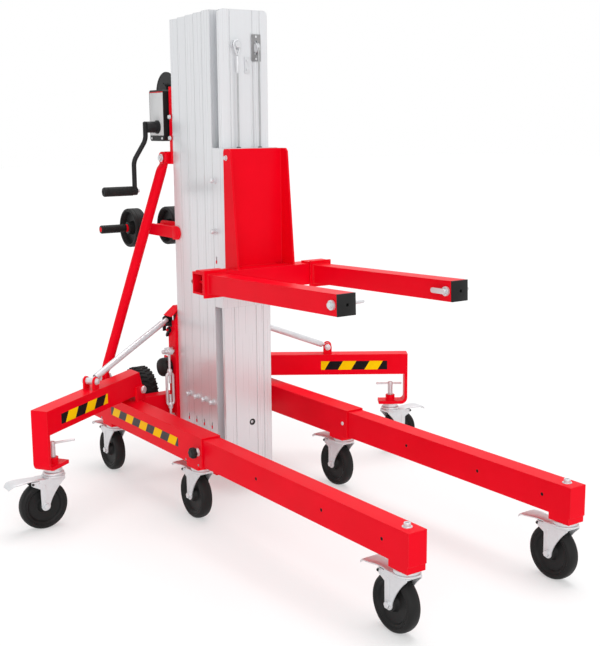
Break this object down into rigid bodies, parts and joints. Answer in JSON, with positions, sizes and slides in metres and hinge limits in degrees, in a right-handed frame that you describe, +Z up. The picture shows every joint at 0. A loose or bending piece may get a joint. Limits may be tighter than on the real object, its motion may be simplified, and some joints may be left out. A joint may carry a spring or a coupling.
{
  "type": "material hoist",
  "caption": "Manual material hoist with a telescopic aluminium mast, hand winch, load forks, sliding legs, folding outriggers and braked swivel casters.",
  "frame": {"origin": "on the floor below the middle of the whole footprint", "axes": "+Z up, -Y the way the forks and long legs point, +X to the right of someone facing the forks' way from behind"},
  "size_m": [1.728, 2.019, 1.66],
  "materials": {
    "red_paint": "gloss powder coat",
    "anodised_aluminium": "satin anodised extrusion",
    "zinc_steel": "bright zinc plate",
    "steel_rope": "galvanised wire rope",
    "black_paint": "satin black",
    "black_plastic": "moulded",
    "black_rubber": "moulded",
    "tyre_rubber": "treaded"
  },
  "bodies": {
    "base": {"leg_tube_left": "red_paint", "leg_tube_right": "red_paint", "base_beam": "red_paint", "mast_section_1": "anodised_aluminium", "winch_bracket": "red_paint", "winch_casing": "black_paint", "brace_struts": "red_paint", "loading_bracket": "red_paint", "loading_grips": "black_rubber", "turnbuckles": "zinc_steel"},
    "section_2": {"mast_section_2": "anodised_aluminium"},
    "section_3": {"mast_section_3": "anodised_aluminium"},
    "section_4": {"mast_section_4": "anodised_aluminium"},
    "section_5": {"mast_section_5": "anodised_aluminium", "cable_fittings": "zinc_steel", "lift_cable": "steel_rope"},
    "sheave": {"front_sheave": "zinc_steel"},
    "carriage": {"carriage": "anodised_aluminium", "fork_frame": "red_paint"},
    "extension_left": {"leg_extension_left": "red_paint"},
    "index_knob_left": {"index_knob_left": "black_plastic"},
    "fork_left": {"fork_arm_left": "red_paint", "fork_cap_left": "black_plastic"},
    "fork_pin_left": {"fork_pin_left": "zinc_steel"},
    "outrigger_left": {"outrigger_left": "red_paint"},
    "stay_left": {"stay_left": "zinc_steel"},
    "jack_left": {"jack_left": "zinc_steel"},
    "latch_left": {"latch_left": "black_plastic"},
    "loading_wheel_left": {"loading_wheel_left": "black_rubber"},
    "rear_wheel_left": {"rear_wheel_left": "tyre_rubber"},
    "caster_front_left": {"caster_fork_front_left": "zinc_steel"},
    "wheel_front_left": {"caster_wheel_front_left": "black_rubber"},
    "caster_mid_left": {"caster_fork_mid_left": "zinc_steel"},
    "wheel_mid_left": {"caster_wheel_mid_left": "black_rubber"},
    "caster_rear_left": {"caster_fork_rear_left": "zinc_steel"},
    "wheel_rear_left": {"caster_wheel_rear_left": "black_rubber"},
    "caster_side_left": {"caster_fork_side_left": "zinc_steel"},
    "wheel_side_left": {"caster_wheel_side_left": "black_rubber"},
    "extension_right": {"leg_extension_right": "red_paint"},
    "index_knob_right": {"index_knob_right": "black_plastic"},
    "fork_right": {"fork_arm_right": "red_paint", "fork_cap_right": "black_plastic"},
    "fork_pin_right": {"fork_pin_right": "zinc_steel"},
    "outrigger_right": {"outrigger_right": "red_paint"},
    "stay_right": {"stay_right": "zinc_steel"},
    "jack_right": {"jack_right": "zinc_steel"},
    "latch_right": {"latch_right": "black_plastic"},
    "loading_wheel_right": {"loading_wheel_right": "black_rubber"},
    "rear_wheel_right": {"rear_wheel_right": "tyre_rubber"},
    "caster_front_right": {"caster_fork_front_right": "zinc_steel"},
    "wheel_front_right": {"caster_wheel_front_right": "black_rubber"},
    "caster_mid_right": {"caster_fork_mid_right": "zinc_steel"},
    "wheel_mid_right": {"caster_wheel_mid_right": "black_rubber"},
    "caster_rear_right": {"caster_fork_rear_right": "zinc_steel"},
    "wheel_rear_right": {"caster_wheel_rear_right": "black_rubber"},
    "caster_side_right": {"caster_fork_side_right": "zinc_steel"},
    "wheel_side_right": {"caster_wheel_side_right": "black_rubber"},
    "drum": {"winch_drum": "black_paint"},
    "crank": {"crank": "black_paint"},
    "crank_grip": {"crank_grip": "black_rubber"}
  },
  "joints": [
    {"name": "section_2_slide", "type": "slide", "parent": "base", "child": "section_2", "axis": [0, 0, 1], "range_m": [0, 1.2]},
    {"name": "section_3_slide", "type": "slide", "parent": "section_2", "child": "section_3", "axis": [0, 0, 1], "range_m": [0, 1.2]},
    {"name": "section_4_slide", "type": "slide", "parent": "section_3", "child": "section_4", "axis": [0, 0, 1], "range_m": [0, 1.2]},
    {"name": "section_5_slide", "type": "slide", "parent": "section_4", "child": "section_5", "axis": [0, 0, 1], "range_m": [0, 1.2]},
    {"name": "sheave_spin", "type": "hinge", "parent": "section_5", "child": "sheave", "pos_m": [0.0485, 0.2339, 1.538], "axis": [1, 0, 0], "continuous": true},
    {"name": "carriage_slide", "type": "slide", "parent": "section_5", "child": "carriage", "axis": [0, 0, 1], "range_m": [-0.42, 0.24], "deforming": ["lift_cable"]},
    {"name": "extension_left_slide", "type": "slide", "parent": "base", "child": "extension_left", "axis": [0, 1, 0], "range_m": [0, 0.62]},
    {"name": "index_knob_left_pull", "type": "slide", "parent": "base", "child": "index_knob_left", "axis": [-1, 0, 0], "range_m": [0, 0.012], "stiffness_N_per_m": 600, "springref_m": -0.004},
    {"name": "fork_left_slide", "type": "slide", "parent": "carriage", "child": "fork_left", "axis": [1, 0, 0], "range_m": [0, 0.05]},
    {"name": "fork_pin_left_pull", "type": "slide", "parent": "fork_left", "child": "fork_pin_left", "axis": [-1, 0, 0], "range_m": [0, 0.09]},
    {"name": "outrigger_left_fold", "type": "hinge", "parent": "base", "child": "outrigger_left", "pos_m": [-0.262, 0.6135, 0.3353], "axis": [-0.5635, 0.8261, 0], "range_deg": [0, 90]},
    {"name": "stay_left_swing", "type": "hinge", "parent": "outrigger_left", "child": "stay_left", "pos_m": [-0.49992, 0.4512, 0.4283], "axis": [0.5635, -0.8261, 0], "range_deg": [0, 160]},
    {"name": "jack_left_screw", "type": "slide", "parent": "outrigger_left", "child": "jack_left", "axis": [0, 0, 1], "range_m": [-0.04, 0]},
    {"name": "latch_left_press", "type": "hinge", "parent": "base", "child": "latch_left", "pos_m": [-0.1173, 0.5985, 0.541], "axis": [1, 0, 0], "range_deg": [0, 35], "stiffness_Nm_per_rad": 0.6, "springref_deg": -11.46},
    {"name": "loading_wheel_left_spin", "type": "hinge", "parent": "base", "child": "loading_wheel_left", "pos_m": [-0.0823, 0.9345, 0.893], "axis": [1, 0, 0], "continuous": true},
    {"name": "rear_wheel_left_spin", "type": "hinge", "parent": "base", "child": "rear_wheel_left", "pos_m": [-0.165, 0.7535, 0.28], "axis": [1, 0, 0], "continuous": true},
    {"name": "caster_front_left_swivel", "type": "hinge", "parent": "extension_left", "child": "caster_front_left", "pos_m": [-0.291, -0.9685, 0.18], "axis": [0, 0, 1], "continuous": true},
    {"name": "wheel_front_left_spin", "type": "hinge", "parent": "caster_front_left", "child": "wheel_front_left", "pos_m": [-0.291, -0.9285, 0.08], "axis": [1, 0, 0], "continuous": true},
    {"name": "caster_mid_left_swivel", "type": "hinge", "parent": "base", "child": "caster_mid_left", "pos_m": [-0.291, 0.0685, 0.18], "axis": [0, 0, 1], "continuous": true},
    {"name": "wheel_mid_left_spin", "type": "hinge", "parent": "caster_mid_left", "child": "wheel_mid_left", "pos_m": [-0.291, 0.1085, 0.08], "axis": [1, 0, 0], "continuous": true},
    {"name": "caster_rear_left_swivel", "type": "hinge", "parent": "base", "child": "caster_rear_left", "pos_m": [-0.291, 0.7135, 0.18], "axis": [0, 0, 1], "continuous": true},
    {"name": "wheel_rear_left_spin", "type": "hinge", "parent": "caster_rear_left", "child": "wheel_rear_left", "pos_m": [-0.291, 0.7535, 0.08], "axis": [1, 0, 0], "continuous": true},
    {"name": "caster_side_left_swivel", "type": "hinge", "parent": "jack_left", "child": "caster_side_left", "pos_m": [-0.70396, 0.31201, 0.18], "axis": [0, 0, 1], "continuous": true},
    {"name": "wheel_side_left_spin", "type": "hinge", "parent": "caster_side_left", "child": "wheel_side_left", "pos_m": [-0.74396, 0.31201, 0.08], "axis": [0, 1, 0], "continuous": true},
    {"name": "extension_right_slide", "type": "slide", "parent": "base", "child": "extension_right", "axis": [0, 1, 0], "range_m": [0, 0.62]},
    {"name": "index_knob_right_pull", "type": "slide", "parent": "base", "child": "index_knob_right", "axis": [1, 0, 0], "range_m": [0, 0.012], "stiffness_N_per_m": 600, "springref_m": -0.004},
    {"name": "fork_right_slide", "type": "slide", "parent": "carriage", "child": "fork_right", "axis": [-1, 0, 0], "range_m": [0, 0.05]},
    {"name": "fork_pin_right_pull", "type": "slide", "parent": "fork_right", "child": "fork_pin_right", "axis": [-1, 0, 0], "range_m": [0, 0.09]},
    {"name": "outrigger_right_fold", "type": "hinge", "parent": "base", "child": "outrigger_right", "pos_m": [0.262, 0.6135, 0.3353], "axis": [-0.5635, -0.8261, 0], "range_deg": [0, 90]},
    {"name": "stay_right_swing", "type": "hinge", "parent": "outrigger_right", "child": "stay_right", "pos_m": [0.49992, 0.4512, 0.4283], "axis": [0.5635, 0.8261, 0], "range_deg": [0, 160]},
    {"name": "jack_right_screw", "type": "slide", "parent": "outrigger_right", "child": "jack_right", "axis": [0, 0, 1], "range_m": [-0.04, 0]},
    {"name": "latch_right_press", "type": "hinge", "parent": "base", "child": "latch_right", "pos_m": [0.1173, 0.5985, 0.541], "axis": [1, 0, 0], "range_deg": [0, 35], "stiffness_Nm_per_rad": 0.6, "springref_deg": -11.46},
    {"name": "loading_wheel_right_spin", "type": "hinge", "parent": "base", "child": "loading_wheel_right", "pos_m": [0.0823, 0.9345, 0.893], "axis": [1, 0, 0], "continuous": true},
    {"name": "rear_wheel_right_spin", "type": "hinge", "parent": "base", "child": "rear_wheel_right", "pos_m": [0.165, 0.7535, 0.28], "axis": [1, 0, 0], "continuous": true},
    {"name": "caster_front_right_swivel", "type": "hinge", "parent": "extension_right", "child": "caster_front_right", "pos_m": [0.291, -0.9685, 0.18], "axis": [0, 0, 1], "continuous": true},
    {"name": "wheel_front_right_spin", "type": "hinge", "parent": "caster_front_right", "child": "wheel_front_right", "pos_m": [0.291, -0.9285, 0.08], "axis": [1, 0, 0], "continuous": true},
    {"name": "caster_mid_right_swivel", "type": "hinge", "parent": "base", "child": "caster_mid_right", "pos_m": [0.291, 0.0685, 0.18], "axis": [0, 0, 1], "continuous": true},
    {"name": "wheel_mid_right_spin", "type": "hinge", "parent": "caster_mid_right", "child": "wheel_mid_right", "pos_m": [0.291, 0.1085, 0.08], "axis": [1, 0, 0], "continuous": true},
    {"name": "caster_rear_right_swivel", "type": "hinge", "parent": "base", "child": "caster_rear_right", "pos_m": [0.291, 0.7135, 0.18], "axis": [0, 0, 1], "continuous": true},
    {"name": "wheel_rear_right_spin", "type": "hinge", "parent": "caster_rear_right", "child": "wheel_rear_right", "pos_m": [0.291, 0.7535, 0.08], "axis": [1, 0, 0], "continuous": true},
    {"name": "caster_side_right_swivel", "type": "hinge", "parent": "jack_right", "child": "caster_side_right", "pos_m": [0.70396, 0.31201, 0.18], "axis": [0, 0, 1], "continuous": true},
    {"name": "wheel_side_right_spin", "type": "hinge", "parent": "caster_side_right", "child": "wheel_side_right", "pos_m": [0.74396, 0.31201, 0.08], "axis": [0, 1, 0], "continuous": true},
    {"name": "drum_turn", "type": "hinge", "parent": "base", "child": "drum", "pos_m": [0, 0.6965, 1.402], "axis": [1, 0, 0], "continuous": true},
    {"name": "crank_turn", "type": "hinge", "parent": "base", "child": "crank", "pos_m": [-0.14, 0.6435, 1.279], "axis": [1, 0, 0], "continuous": true},
    {"name": "crank_grip_spin", "type": "hinge", "parent": "crank", "child": "crank_grip", "pos_m": [-0.272, 0.6435, 1.054], "axis": [1, 0, 0], "continuous": true}
  ],
  "couplings": [
    {"joint": "stay_left_swing", "follows": "outrigger_left_fold", "ratio": 1.7667},
    {"joint": "stay_right_swing", "follows": "outrigger_right_fold", "ratio": 1.7667},
    {"joint": "crank_turn", "follows": "drum_turn", "ratio": -4}
  ]
}
